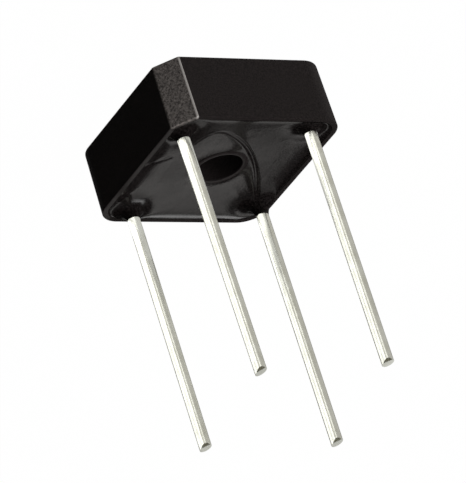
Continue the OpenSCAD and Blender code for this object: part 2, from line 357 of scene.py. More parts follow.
def case_outline(s, inset):
    """Outline of the case in plan, anticlockwise from the -y end of the +x side, set in by inset.
    Returns the points and, for each, a bevel mark and a mark for the painted highlight on the edge between
    the +y side and the bevel."""
    half = s.width / 2
    lean = math.atan2(s.bevel_y, s.bevel_x)
    bevel_out = Vector((-math.sin(lean), math.cos(lean)))
    bevel_far = bevel_out.dot(Vector((-half, half - s.bevel_y)))
    sides = [(Vector((1, 0)), half, s.corner), (Vector((0, 1)), half, s.bevel_edge),
             (bevel_out, bevel_far, s.bevel_edge), (Vector((-1, 0)), half, s.corner),
             (Vector((0, -1)), half, s.corner)]
    arcs = []
    for k, (out, far, radius) in enumerate(sides):
        next_out, next_far, _ = sides[(k + 1) % len(sides)]
        plain = radius == s.corner
        round_by = radius - inset if plain else radius
        reach = Vector((far - inset - round_by, next_far - inset - round_by))
        middle = Matrix((out, next_out)).inverted() @ reach
        a0 = math.atan2(out.y, out.x)
        a1 = a0 + (math.atan2(next_out.y, next_out.x) - a0) % (2 * math.pi)
        steps = CORNER_STEPS if plain else EDGE_STEPS
        arcs.append([middle + round_by * Vector((math.cos(a), math.sin(a)))
                     for a in (a0 + (a1 - a0) * i / steps for i in range(steps + 1))])
    points, bevel, worn = [], [], []
    for k, arc in enumerate(arcs):
        steps = BEVEL_STEPS if k == BEVEL else SIDE_STEPS
        for t in spread(0, 1, steps)[1:-1]:
            points.append(arcs[k - 1][-1].lerp(arc[0], t))
            bevel.append(float(k == BEVEL))
            worn.append(0.0)
        for i, p in enumerate(arc):
            share = i / (len(arc) - 1)
            points.append(p)
            bevel.append({BEVEL - 1: share, BEVEL: 1 - share}.get(k, 0.0))
            # That edge, between the +y side and the bevel, carries the painted highlight.
            worn.append(float(k == BEVEL - 1 and 0 < share < 1))
    return points, bevel, worn


def loft(name, rings):
    """Closed mesh through rings of equal count, the last one joined back to the first."""
    count = len(rings[0])
    faces = []
    for r in range(len(rings)):
        a, b = r * count, ((r + 1) % len(rings)) * count
        for i in range(count):
            j = (i + 1) % count
            faces.append((a + i, a + j, b + j, b + i))
    mesh = bpy.data.meshes.new(name)
    mesh.from_pydata([p for ring in rings for p in ring], [], faces)
    mesh.validate()
    return mesh


def finish_mesh(mesh):
    """Smooth faces, outward normals, and hard edges at each crease."""
    work = bmesh.new()
    work.from_mesh(mesh)
    bmesh.ops.recalc_face_normals(work, faces=work.faces)
    for face in work.faces:
        face.smooth = True
    for edge in work.edges:
        edge.smooth = len(edge.link_faces) != 2 or edge.calc_face_angle(0.0) < CREASE
    work.to_mesh(mesh)
    work.free()
    return mesh


def add_attribute(mesh, name, values):
    """Stores one number at each vertex."""
    mesh.attributes.new(name, "FLOAT", "POINT").data.foreach_set("value", np.array(values, np.float32))


def add_piece(name, mesh, material, slot, *stands_for):
    """Puts a piece in the scene, on the one body, in place of its CAD nodes."""
    piece = bpy.data.objects.new(name, mesh)
    bpy.context.scene.collection.objects.link(piece)
    if material.name not in mesh.materials:
        mesh.materials.append(material)
    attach(piece, "root")
    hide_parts(*stands_for)
    return piece


def case_mesh(s):
    """The cup in one closed skin: outside, rim, inside, closed face, boss and screw hole."""
    plan, bevel, worn = case_outline(s, 0.0)
    hole_r = s.hole / 2
    boss_r = hole_r + s.boss_wall
    boss = s.height - s.boss_drop
    edge, foot, rim = s.rim_edge, s.foot_edge, s.height
    # A quarter round: at each step, the share that is left of one way and done of the other.
    angles = [math.pi / 2 * k / ROUND_STEPS for k in range(ROUND_STEPS + 1)]
    turn = [(1 - math.sin(a), 1 - math.cos(a)) for a in angles]
    # From the flat face over the rim to the closed face inside: how far each ring is set in, and z.
    cup = [(s.draft + foot * u, foot * v) for u, v in turn]
    cup += [(s.draft * (rim - z) / rim, z) for z in spread(foot, rim - edge, OUTER_STEPS)[1:]]
    cup += [(edge * v, rim - edge * u) for u, v in turn[1:]]
    cup += [(s.wall - edge * u, rim - edge * v) for u, v in turn]
    cup += [(s.wall, z) for z in spread(rim - edge, s.floor, INNER_STEPS)[1:]]
    # From the closed face over the boss and down the hole: radius of each ring, and z.
    tube = [(boss_r, z) for z in spread(s.floor, boss - edge, BOSS_STEPS)]
    tube += [(boss_r - edge * v, boss - edge * u) for u, v in turn[1:]]
    tube += [(hole_r + edge * u, boss - edge * v) for u, v in turn]
    tube += [(hole_r, z) for z in spread(boss - edge, edge, HOLE_STEPS)[1:]]
    tube += [(hole_r + edge * v, edge * u) for u, v in turn[1:]]
    # The painted edge highlight starts a little over the flat face. The rim's -x side and the hole's mouth
    # are rubbed.
    highlight_z, rubbed_x = 0.3 * foot, -0.42 * s.width
    mouth_r, mouth_z = hole_r + 1.5 * edge, boss - 1.2 * edge
    skins, bevels, edge_highlights, rims = [], [], [], []
    plain = [0.0] * len(plan)
    for inset, z in cup:
        outside = inset < s.wall / 2
        on_top = z > rim - edge / 2
        skins.append([(p.x, p.y, z) for p in case_outline(s, inset)[0]])
        bevels += bevel if outside else plain
        edge_highlights += worn if outside and z > highlight_z else plain
        rims += [float(on_top and p[0] < rubbed_x) for p in skins[-1]]
    for radius, z in tube:
        skins.append([(*(p.normalized() * radius), z) for p in plan])
        bevels += plain
        edge_highlights += plain
        rims += [float(radius < mouth_r and z > mouth_z)] * len(plan)
    mesh = loft("case", skins)
    add_attribute(mesh, "bevel", bevels)
    add_attribute(mesh, "worn", edge_highlights)
    add_attribute(mesh, "rim", rims)
    return finish_mesh(mesh)


def potting_blank(case, s):
    """Flat fill between the boss and the walls, ready for its surface to be drawn up.
    The top's vertices are marked, and each carries its gap to the wall."""
    plan = case_outline(case, case.wall)[0]
    boss_r = case.hole / 2 + case.boss_wall
    level = case.height - s.drop
    # Each ring's share of the way from the boss to the walls, and z.
    tops = [(t, level) for t in spread(0, 1, SPAN_STEPS)]
    others = [(1, z) for z in spread(level, case.floor, DEPTH_STEPS)[1:]]
    others += [(0.66, case.floor), (0.33, case.floor)]
    others += [(0, z) for z in spread(case.floor, level, DEPTH_STEPS)[:-1]]
    rings = [[(*(p.normalized() * boss_r).lerp(p, t), z) for p in plan] for t, z in tops + others]
    walls = np.array([tuple(p) for p in plan])
    gaps = [float(np.hypot(walls[:, 0] - x, walls[:, 1] - y).min())
            for ring in rings[:len(tops)] for x, y, _ in ring]
    below = [0.0] * len(plan) * len(others)
    mesh = loft("potting_compound", rings)
    add_attribute(mesh, "top", [1.0] * len(gaps) + below)
    add_attribute(mesh, "wall_gap", gaps + below)
    return mesh


def lead_place(s, k):
    """Where lead k stands in plan."""
    home = Vector(((-1, 1), (1, 1), (1, -1), (-1, -1))[k]) * s.pitch / 2
    home.rotate(Matrix.Rotation(s.turn, 2))
    return home + Vector(LEAD_STEPS[k])


# --- geometry trees --------------------------------------------------------------------------

def geometry_tree(name, floats, vectors):
    """A Geometry Nodes tree with geometry in and out, the named inputs and a material.
    Returns the tree and the sockets that bring its inputs in."""
    tree = bpy.data.node_groups.new(name, "GeometryNodeTree")
    tree.interface.new_socket("Geometry", in_out="OUTPUT", socket_type="NodeSocketGeometry")
    kinds = {"Geometry": "Geometry", "Material": "Material"}
    kinds.update({socket: "Float" for socket in floats})
    kinds.update({socket: "Vector" for socket in vectors})
    for socket, kind in kinds.items():
        tree.interface.new_socket(socket, in_out="INPUT", socket_type="NodeSocket" + kind)
    return tree, node(tree, "NodeGroupInput").outputs


def close_tree(tree, geometry, material):
    """Ends a tree: instances are made real and the piece gets its one material."""
    real = node(tree, "GeometryNodeRealizeInstances", {"Geometry": geometry})
    done = node(tree, "GeometryNodeSetMaterial", {"Geometry": real, "Material": material})
    node(tree, "NodeGroupOutput", {"Geometry": done})


def run_tree(name, mesh, tree, values):
    """Runs the tree on the mesh with these input values and returns the plain mesh it makes."""
    carrier = bpy.data.objects.new(name, mesh)
    bpy.context.scene.collection.objects.link(carrier)
    modifier = carrier.modifiers.new("shape", "NODES")
    modifier.node_group = tree
    for item in tree.interface.items_tree:
        if item.in_out == "INPUT" and item.name in values:
            modifier[item.identifier] = values[item.name]
    bpy.context.view_layer.update()
    graph = bpy.context.evaluated_depsgraph_get()
    made = bpy.data.meshes.new_from_object(carrier.evaluated_get(graph))
    carrier.modifiers.remove(modifier)
    bpy.data.objects.remove(carrier)
    made.name = name
    return made


# Share of the climb that the boss draws up.
BOSS_SHARE = 0.3
# Share of each neck that is a tight collar round the wire, and the distance over which it fades.
COLLAR_SHARE, COLLAR_REACH = 0.25, 0.1 * MM
# Inside the boss and the wires, gaps are taken as no less than this.
LEAST_GAP = -0.2 * MM
# At the -x wall the slow rise starts at this share, and is whole again this far in.
SIDE_SHARE, SIDE_END = 0.35, 2.6 * MM
# Half of the stretch over which the first pour gives way to the second.
POUR_BLEND = 0.1 * MM
# Steps along each bend of the seam and of the ridge.
BEND_STEPS = 40


def potting_tree():
    """Draws the flat fill up along the walls, round the boss and up each wire, and gives the rest
    a slow ripple. Heights meet by their fourth powers, so one runs smoothly into the next. The
    slow rise towards the walls, a furrow along the seam and a short ridge are added to them, and
    what lies beyond the seam is marked as the second pour."""
    floats = ["Climb", "Climb Reach", "Shrink", "Shrink Reach", "Neck Reach", "Boss Radius",
              "Wire Radius", "Ripple", "Seam Depth", "Seam Width", "Side Place", "Side Rise",
              "Side Reach", "Ridge Height", "Ridge Width", *(f"Neck {k}" for k in range(4))]
    vectors = [f"{name} {k}" for name, count in (
        ("Wire", 4), ("Seam", len(SEAM_POINTS)), ("Ridge", len(RIDGE_POINTS))) for k in range(count)]
    tree, value = geometry_tree("drawn_up_potting", floats, vectors)
    place = node(tree, "GeometryNodeInputPosition")
    plan = node(tree, "ShaderNodeVectorMath", {0: place, 1: (1.0, 1.0, 0.0)}, operation="MULTIPLY")
    top = node(tree, "GeometryNodeInputNamedAttribute", {"Name": "top"})
    gap = node(tree, "GeometryNodeInputNamedAttribute", {"Name": "wall_gap"})

    def fade(distance, reach, tall):
        """A height that fades away with distance."""
        ratio = node(tree, "ShaderNodeMath", {0: distance, 1: reach}, operation="DIVIDE")
        power = node(tree, "ShaderNodeMath", {0: ratio, 1: -1.0}, operation="MULTIPLY")
        share = node(tree, "ShaderNodeMath", {0: power}, operation="EXPONENT")
        return node(tree, "ShaderNodeMath", {0: share, 1: tall}, operation="MULTIPLY")

    def rounded(distance, reach, tall):
        """A height with a rounded crest, in the shape of a bell."""
        ratio = node(tree, "ShaderNodeMath", {0: distance, 1: reach}, operation="DIVIDE")
        square = node(tree, "ShaderNodeMath", {0: ratio, 1: ratio}, operation="MULTIPLY")
        return fade(square, 1.0, tall)

    def gap_to(centre, radius):
        """Distance in plan to a round thing."""
        away = node(tree, "ShaderNodeVectorMath", {0: plan, 1: centre}, operation="DISTANCE")
        clear = node(tree, "ShaderNodeMath", {0: away, 1: radius}, operation="SUBTRACT")
        return node(tree, "ShaderNodeMath", {0: clear, 1: LEAST_GAP}, operation="MAXIMUM")

    def nearest_on(name, *starts):
        """Nearest place on a line of bends that meet end to end, each from three named points."""
        bends = [node(tree, "GeometryNodeCurveQuadraticBezier", {
            "Resolution": BEND_STEPS, "Start": value[f"{name} {k}"],
            "Middle": value[f"{name} {k + 1}"], "End": value[f"{name} {k + 2}"]}) for k in starts]
        whole = node(tree, "GeometryNodeJoinGeometry", {0: bends})
        line = node(tree, "GeometryNodeCurveToMesh", {"Curve": whole})
        return node(tree, "GeometryNodeProximity", {0: line, "Sample Position": plan},
                    target_element="EDGES").outputs

    boss_climb = node(tree, "ShaderNodeMath", {0: value["Climb"], 1: BOSS_SHARE}, operation="MULTIPLY")
    climbs = [fade(gap, value["Climb Reach"], value["Climb"]),
              fade(gap_to((0.0, 0.0, 0.0), value["Boss Radius"]), value["Climb Reach"], boss_climb)]
    for k in range(4):
        near = gap_to(value[f"Wire {k}"], value["Wire Radius"])
        low = node(tree, "ShaderNodeMath", {
            0: value[f"Neck {k}"], 1: 1 - COLLAR_SHARE}, operation="MULTIPLY")
        high = node(tree, "ShaderNodeMath", {0: value[f"Neck {k}"], 1: COLLAR_SHARE}, operation="MULTIPLY")
        collar = fade(near, COLLAR_REACH, high)
        skirt = fade(near, value["Neck Reach"], low)
        climbs.append(node(tree, "ShaderNodeMath", {0: skirt, 1: collar}, operation="ADD"))
    # Along the -x wall a rounded band takes the place of the long slow rise.
    east = node(tree, "ShaderNodeSeparateXYZ", {0: plan})
    from_side = node(tree, "ShaderNodeMath", {0: east, 1: value["Side Place"]}, operation="SUBTRACT")
    climbs.append(rounded(from_side, value["Side Reach"], value["Side Rise"]))
    left_over = node(tree, "ShaderNodeMapRange", {
        "Value": from_side, "From Max": SIDE_END, "To Min": SIDE_SHARE})
    slow_rise = fade(gap, value["Shrink Reach"], value["Shrink"])
    slow_rise = node(tree, "ShaderNodeMath", {0: slow_rise, 1: left_over}, operation="MULTIPLY")
    # The powers are taken in millimetres, which keeps them clear of the smallest numbers.
    total = 0.0
    for climb in climbs:
        scaled = node(tree, "ShaderNodeMath", {0: climb, 1: 1 / MM}, operation="MULTIPLY")
        fourth = node(tree, "ShaderNodeMath", {0: scaled, 1: 4.0}, operation="POWER")
        total = node(tree, "ShaderNodeMath", {0: total, 1: fourth}, operation="ADD")
    root = node(tree, "ShaderNodeMath", {0: total, 1: 0.25}, operation="POWER")
    rise = node(tree, "ShaderNodeMath", {0: root, 1: MM}, operation="MULTIPLY")
    wave = node(tree, "ShaderNodeTexNoise", {"Vector": plan, "Scale": 0.33 / MM, "Detail": 1.0})
    swing = node(tree, "ShaderNodeMath", {0: wave, 1: 0.5}, operation="SUBTRACT")
    ripple = node(tree, "ShaderNodeMath", {0: swing, 1: value["Ripple"]}, operation="MULTIPLY")
    seam, ridge_line = nearest_on("Seam", 0, 2), nearest_on("Ridge", 0)
    furrow = rounded(seam["Distance"], value["Seam Width"], value["Seam Depth"])
    ridge = rounded(ridge_line["Distance"], value["Ridge Width"], value["Ridge Height"])
    for extra, way in ((ripple, "ADD"), (slow_rise, "ADD"), (furrow, "SUBTRACT"), (ridge, "ADD"),
                       (top, "MULTIPLY")):
        rise = node(tree, "ShaderNodeMath", {0: rise, 1: extra}, operation=way)
    # The second pour lies further from the hole than the seam, and beyond the line of its ends.
    reach = node(tree, "ShaderNodeVectorMath", {0: plan}, operation="LENGTH")
    seam_reach = node(tree, "ShaderNodeVectorMath", {0: seam["Position"]}, operation="LENGTH")
    beyond = node(tree, "ShaderNodeMath", {0: reach, 1: seam_reach}, operation="SUBTRACT")
    outside = node(tree, "ShaderNodeMapRange", {
        "Value": beyond, "From Min": -POUR_BLEND, "From Max": POUR_BLEND})
    first, last = value["Seam 0"], value[f"Seam {len(SEAM_POINTS) - 1}"]
    chord = node(tree, "ShaderNodeVectorMath", {0: last, 1: first}, operation="SUBTRACT")
    square_on = node(tree, "ShaderNodeVectorMath", {
        0: (0.0, 0.0, 1.0), 1: chord}, operation="CROSS_PRODUCT")
    from_first = node(tree, "ShaderNodeVectorMath", {0: plan, 1: first}, operation="SUBTRACT")
    above = node(tree, "ShaderNodeVectorMath", {0: from_first, 1: square_on}, operation="DOT_PRODUCT")
    far_side = node(tree, "ShaderNodeMath", {0: above, 1: 0.0}, operation="GREATER_THAN")
    second = node(tree, "ShaderNodeMath", {0: outside, 1: far_side}, operation="MULTIPLY")
    marked = node(tree, "GeometryNodeStoreNamedAttribute", {
        "Geometry": value["Geometry"], "Name": "second_pour", "Value": second},
        data_type="FLOAT", domain="POINT")
    offset = node(tree, "ShaderNodeCombineXYZ", {"Z": rise})
    moved = node(tree, "GeometryNodeSetPosition", {"Geometry": marked, "Offset": offset})
    close_tree(tree, moved, value["Material"])
    return tree


# Steps round a wire, up its side, and from its edge to the middle of its cut end.
WIRE_SIDES, SIDE_RINGS, CAP_RINGS = 64, 40, 14
# The blade rolls over the edge of each cut that faces this way, from this share of the radius on.
BURR_WAY, BURR_START = (-0.5, 0.866, 0.0), 0.67
# Fall of the rolled edge for each unit outwards, and how far out from its start the burr's painted shade
# begins.
CRUSH, BURR_FROM = 1.3, 0.01 * MM
# How far the tongue runs up into the wire, and the distance at which the wire's skin is welded.
TONGUE_LAP, WELD = 0.02 * MM, 0.0005 * MM


def lead_tree():
    """A drawn wire rolled from a grid: it starts level with the rim, leans a little, ends in a
    slanted cut with a rolled-over near edge, and carries its pressed tongue and foot."""
    tree, value = geometry_tree(
        "drawn_wire", ["Radius", "Start", "Tip", "Slant", "Slant Towards", "Lean", "Crush", "Foot Turn",
                       "Foot Base", "Foot Width", "Foot Thickness", "Foot Reach"], ["Place"])
    rows = SIDE_RINGS + CAP_RINGS
    grid = node(tree, "GeometryNodeMeshGrid", {
        "Size X": 1.0, "Size Y": 1.0, "Vertices X": WIRE_SIDES + 1, "Vertices Y": rows + 1})
    where = node(tree, "ShaderNodeSeparateXYZ", {0: node(tree, "GeometryNodeInputPosition")}).outputs
    around = node(tree, "ShaderNodeMapRange", {
        "Value": where["X"], "From Min": -0.5, "From Max": 0.5, "To Max": 2 * math.pi})
    row = node(tree, "ShaderNodeMapRange", {
        "Value": where["Y"], "From Min": -0.5, "From Max": 0.5, "To Max": float(rows)})
    share = node(tree, "ShaderNodeMapRange", {"Value": row, "From Max": float(SIDE_RINGS)})
    closing = node(tree, "ShaderNodeMapRange", {
        "Value": row, "From Min": float(SIDE_RINGS), "From Max": float(rows), "To Min": 1.0, "To Max": 0.0})
    radius = node(tree, "ShaderNodeMath", {0: value["Radius"], 1: closing}, operation="MULTIPLY")
    cosine = node(tree, "ShaderNodeMath", {0: around}, operation="COSINE")
    sine = node(tree, "ShaderNodeMath", {0: around}, operation="SINE")
    out = node(tree, "ShaderNodeCombineXYZ", {"X": cosine, "Y": sine})
    ring = node(tree, "ShaderNodeVectorMath", {0: out, "Scale": radius}, operation="SCALE")
    # The cut falls towards its short side, and its near edge is rolled down by the blade.
    cosine = node(tree, "ShaderNodeMath", {0: value["Slant Towards"]}, operation="COSINE")
    sine = node(tree, "ShaderNodeMath", {0: value["Slant Towards"]}, operation="SINE")
    towards = node(tree, "ShaderNodeCombineXYZ", {"X": cosine, "Y": sine})
    down = node(tree, "ShaderNodeVectorMath", {0: ring, 1: towards}, operation="DOT_PRODUCT")
    from_top = node(tree, "ShaderNodeMath", {0: down, 1: value["Radius"]}, operation="ADD")
    slope = node(tree, "ShaderNodeMath", {0: value["Slant"]}, operation="TANGENT")
    fall = node(tree, "ShaderNodeMath", {0: from_top, 1: slope}, operation="MULTIPLY")
    near = node(tree, "ShaderNodeVectorMath", {0: ring, 1: BURR_WAY}, operation="DOT_PRODUCT")
    start = node(tree, "ShaderNodeMath", {0: value["Radius"], 1: BURR_START}, operation="MULTIPLY")
    past = node(tree, "ShaderNodeMath", {0: near, 1: start}, operation="SUBTRACT")
    over = node(tree, "ShaderNodeMath", {0: past, 1: 0.0}, operation="MAXIMUM")
    rolled = node(tree, "ShaderNodeMath", {0: over, 1: value["Crush"]}, operation="MULTIPLY")
    end = node(tree, "ShaderNodeMath", {0: value["Tip"], 1: fall}, operation="SUBTRACT")
    end = node(tree, "ShaderNodeMath", {0: end, 1: rolled}, operation="SUBTRACT")
    tall = node(tree, "ShaderNodeMath", {0: end, 1: value["Start"]}, operation="SUBTRACT")
    up = node(tree, "ShaderNodeMath", {0: tall, 1: share}, operation="MULTIPLY")
    lean = node(tree, "ShaderNodeMath", {0: value["Lean"]}, operation="TANGENT")
    drift = node(tree, "ShaderNodeMath", {0: up, 1: lean}, operation="MULTIPLY")
    leant = node(tree, "ShaderNodeVectorMath", {0: towards, "Scale": drift}, operation="SCALE")
    height = node(tree, "ShaderNodeMath", {0: value["Start"], 1: up}, operation="ADD")
    point = node(tree, "ShaderNodeCombineXYZ", {"Z": height})
    for part in (ring, leant, value["Place"]):
        point = node(tree, "ShaderNodeVectorMath", {0: point, 1: part}, operation="ADD")
    # This marks the rolled edge of the cut, where the burr's painted shade goes.
    deep = node(tree, "ShaderNodeMath", {0: over, 1: BURR_FROM}, operation="GREATER_THAN")
    on_cut = node(tree, "ShaderNodeMath", {0: row, 1: SIDE_RINGS + 0.5}, operation="GREATER_THAN")
    burr = node(tree, "ShaderNodeMath", {0: deep, 1: on_cut}, operation="MULTIPLY")
    marked = node(tree, "GeometryNodeStoreNamedAttribute", {
        "Geometry": grid, "Name": "burr", "Value": burr}, data_type="FLOAT", domain="POINT")
    rolled_up = node(tree, "GeometryNodeSetPosition", {"Geometry": marked, "Position": point})
    # The wire's bottom is closed by a disc before its seam is welded.
    disc = node(tree, "GeometryNodeMeshCircle", {
        "Vertices": WIRE_SIDES, "Radius": value["Radius"]}, fill_type="NGON")
    seat = node(tree, "ShaderNodeCombineXYZ", {"Z": value["Start"]})
    seat = node(tree, "ShaderNodeVectorMath", {0: seat, 1: value["Place"]}, operation="ADD")
    bottom = node(tree, "GeometryNodeTransform", {"Geometry": disc, "Translation": seat})
    skin = node(tree, "GeometryNodeJoinGeometry", {0: [rolled_up, bottom]})
    parts = [node(tree, "GeometryNodeMergeByDistance", {"Geometry": skin, "Distance": WELD})]
    # The pressed tongue inside the potting, and the foot it bends into: length, height and shift.
    lap = node(tree, "ShaderNodeMath", {0: value["Start"], 1: TONGUE_LAP}, operation="ADD")
    tongue_height = node(tree, "ShaderNodeMath", {0: lap, 1: value["Foot Base"]}, operation="SUBTRACT")
    foot_length = node(tree, "ShaderNodeMath", {
        0: value["Foot Thickness"], 1: value["Foot Reach"]}, operation="ADD")
    foot_height = node(tree, "ShaderNodeMath", {0: value["Foot Thickness"], 1: 0.5}, operation="MULTIPLY")
    foot_shift = node(tree, "ShaderNodeMath", {0: value["Foot Reach"], 1: 0.5}, operation="MULTIPLY")
    spin = node(tree, "ShaderNodeCombineXYZ", {"Z": value["Foot Turn"]})
    for long, high, shift in ((value["Foot Thickness"], tongue_height, 0.0),
                              (foot_length, foot_height, foot_shift)):
        size = node(tree, "ShaderNodeCombineXYZ", {"X": long, "Y": value["Foot Width"], "Z": high})
        block = node(tree, "GeometryNodeMeshCube", {"Size": size})
        middle = node(tree, "ShaderNodeMath", {
            0: high, 1: 0.5, 2: value["Foot Base"]}, operation="MULTIPLY_ADD")
        home = node(tree, "ShaderNodeCombineXYZ", {"X": shift, "Z": middle})
        moved = node(tree, "GeometryNodeTransform", {"Geometry": block, "Translation": home})
        parts.append(node(tree, "GeometryNodeTransform", {
            "Geometry": moved, "Rotation": spin, "Translation": value["Place"]}))
    whole = node(tree, "GeometryNodeJoinGeometry", {0: parts})
    close_tree(tree, whole, value["Material"])
    return tree


# --- operators -------------------------------------------------------------------------------

class RECTIFIER_OT_case(bpy.types.Operator):
    """Moulded cup with its boss, screw hole and polarity bevel"""
    bl_idname = "rectifier.case"
    bl_label = "Case"

    def execute(self, context):
        s = context.scene.rectifier_case
        add_piece("moulded_case", case_mesh(s), moulded_plastic(s), "case_plastic", "case")
        return {"FINISHED"}


class RECTIFIER_OT_potting(bpy.types.Operator):
    """Poured epoxy, drawn up along the walls, the boss and the wires"""
    bl_idname = "rectifier.potting"
    bl_label = "Potting"

    def execute(self, context):
        case, s = context.scene.rectifier_case, context.scene.rectifier_potting
        leads = context.scene.rectifier_leads
        material = poured_epoxy(s)
        values = {"Climb": s.climb, "Climb Reach": s.climb_reach,
                  "Shrink": s.shrink, "Shrink Reach": s.shrink_reach,
                  "Neck Reach": s.neck_reach, "Boss Radius": case.hole / 2 + case.boss_wall,
                  "Wire Radius": leads.diameter / 2, "Ripple": s.ripple,
                  "Seam Depth": s.seam_depth, "Seam Width": s.seam_width,
                  "Side Place": case.wall - case.width / 2,
                  "Side Rise": s.side_rise, "Side Reach": s.side_reach,
                  "Ridge Height": s.ridge_height, "Ridge Width": s.ridge_width, "Material": material}
        for name, points in (("Seam", SEAM_POINTS), ("Ridge", RIDGE_POINTS)):
            values.update({f"{name} {k}": (x * MM, y * MM, 0.0) for k, (x, y) in enumerate(points)})
        for k, stand in enumerate(NECK_STANDS):
            values[f"Wire {k}"] = (*lead_place(leads, k), 0.0)
            values[f"Neck {k}"] = s.drop + stand
        mesh = run_tree("potting", potting_blank(case, s), potting_tree(), values)
        add_piece("poured_potting", finish_mesh(mesh), material, "potting", "potting_compound")
        return {"FINISHED"}


class RECTIFIER_OT_leads(bpy.types.Operator):
    """Four tinned wires with sheared ends and pressed feet"""
    bl_idname = "rectifier.leads"
    bl_label = "Leads"

    def execute(self, context):
        case, s = context.scene.rectifier_case, context.scene.rectifier_leads
        material, tree = tinned_wire(s), lead_tree()
        for k, name in enumerate(LEAD_NAMES):
            values = {"Radius": s.diameter / 2, "Start": case.height, "Tip": case.height + LEAD_STANDS[k],
                      "Slant": math.radians(SHEAR_SLANTS[k]), "Slant Towards": s.lean_towards,
                      "Lean": s.lean if name == "lead_positive" else 0.0, "Crush": CRUSH,
                      "Foot Turn": s.turn - math.radians(45 + 90 * k), "Foot Base": FOOT_BASES[k],
                      "Foot Width": s.foot_width, "Foot Thickness": s.foot_thickness,
                      "Foot Reach": s.foot_reach, "Place": (*lead_place(s, k), 0.0), "Material": material}
            mesh = run_tree(name, bpy.data.meshes.new(name), tree, values)
            add_piece("wire_" + name, finish_mesh(mesh), material, "tinned_wire", name)
        return {"FINISHED"}


class RECTIFIER_OT_inner(bpy.types.Operator):
    """Looks of the straps, dice and solder sealed in the potting"""
    bl_idname = "rectifier.inner"
    bl_label = "Inner parts"

    def execute(self, context):
        s = context.scene.rectifier_inner
        looks = {"strap": sealed_material("stamped_copper", s.copper, 1.0, 0.3, 1.5),
                 "die": sealed_material("sawn_silicon", s.silicon, 0.0, 0.35, 4.0),
                 "solder": sealed_material("tin_lead_solder", s.solder, 1.0, 0.35, 2.5)}
        for name, piece in frame["nodes"].items():
            for start, look in looks.items():
                if name.startswith(start):
                    piece.data.materials.clear()
                    piece.data.materials.append(look)
        return {"FINISHED"}


class RECTIFIER_OT_stage(bpy.types.Operator):
    """Floor, lamps, world and camera"""
    bl_idname = "rectifier.stage"
    bl_label = "Stage"

    def execute(self, context):
        s = context.scene.rectifier_stage
        context.scene.view_settings.view_transform = "Standard"
        add_floor(s)
        add_world(context.scene)
        add_lamps()
        add_edge_light()
        add_camera(context.scene, s)
        return {"FINISHED"}


# --- stage -----------------------------------------------------------------------------------

# Half side of the floor in metres, and how far it lies under the flat face so as not to touch it.
FLOOR_HALF, FLOOR_GAP = 3.0, 0.02 * MM
# What the camera aims at: a point among the wires.
CAMERA_AIM = (2.236 * MM, -4.233 * MM, 9.434 * MM)
# Height among the wires that the lamps look at.
WIRE_MIDDLE = 12 * MM
# The key lamp: its place, the side of its square face, and its radiance.
KEY_PLACE, KEY_SIDE, KEY_RADIANCE = (160 * MM, 110 * MM, 240 * MM), 280 * MM, 2.4
# Each panel for the wires: its direction in degrees from +x, how far it stands over WIRE_MIDDLE,
# its width, and its radiance. All of them stand PANEL_AWAY off and are PANEL_TALL high.
WIRE_PANELS = {
    "near_left": (166.0, -90 * MM, 170 * MM, 1.25),
    "far_left": (222.0, -90 * MM, 200 * MM, 1.5),
    "right": (105.0, -90 * MM, 50 * MM, 1.1),
    "high": (121.0, 90 * MM, 40 * MM, 1.2),
    "ends": (-39.0, 70 * MM, 90 * MM, 0.58),
}
PANEL_AWAY, PANEL_TALL = 178 * MM, 160 * MM
# One sheet for all the wires, and one for each: how far under the rim, size, and radiance.
SHEET_DROP, SHEET_SIZE, SHEET_RADIANCE = 0.1 * MM, (15 * MM, 15 * MM), 0.62
OWN_DROP, OWN_SIZE, OWN_RADIANCE = 0.05 * MM, (11.6 * MM, 9 * MM), 0.8
# Which way, and how far, a wire's own sheet lies off its wire.
OWN_WAY, OWN_OFF = math.radians(190), 6.3 * MM
# The edge light: the point it looks at, which way and how far it stands off, and its face.
EDGE_POINT = (0.0, -6.9 * MM, RIM - 0.25 * MM)
EDGE_WAY, EDGE_OFF = (0.533, -0.25, 0.81), 5 * MM
EDGE_SIZE, EDGE_RADIANCE, EDGE_SPREAD = (13.6 * MM, 3 * MM), 0.13, math.radians(34)


def add_floor(s):
    """Pale floor that looks white to the camera and takes the shadow. Mirrors and bounced light
    don't see it: they see the world's light in its place."""
    made, tree = blank_material("pale_paper_floor")
    ray = node(tree, "ShaderNodeLightPath").outputs
    place = node(tree, "ShaderNodeTexCoord").outputs["Object"]
    fibre = node(tree, "ShaderNodeTexNoise", {"Vector": place, "Scale": 0.4 / MM, "Detail": 3.0})
    tone = node(tree, "ShaderNodeMix", {0: fibre, 6: shaded(s.floor, 0.97), 7: s.floor}, data_type="RGBA")
    paper = node(tree, "ShaderNodeBsdfDiffuse", {"Color": tone})
    # To the camera it is nearly all light of its own, with a trace of lit paper for the shadow.
    seen = node(tree, "ShaderNodeMath", {0: ray["Is Camera Ray"], 1: 0.992}, operation="MULTIPLY")
    light = node(tree, "ShaderNodeEmission", {"Strength": 1.0})
    whole = node(tree, "ShaderNodeMixShader", {0: seen, 1: paper, 2: light})
    node(tree, "ShaderNodeOutputMaterial", {"Surface": whole})
    mesh = bpy.data.meshes.new("studio_floor")
    corners = [(x * FLOOR_HALF, y * FLOOR_HALF, -FLOOR_GAP) for x, y in ((-1, -1), (1, -1), (1, 1), (-1, 1))]
    mesh.from_pydata(corners, [], [(0, 1, 2, 3)])
    mesh.materials.append(made)
    floor = bpy.data.objects.new("studio_floor", mesh)
    bpy.context.scene.collection.objects.link(floor)
    floor.visible_glossy = False
    floor.visible_diffuse = False


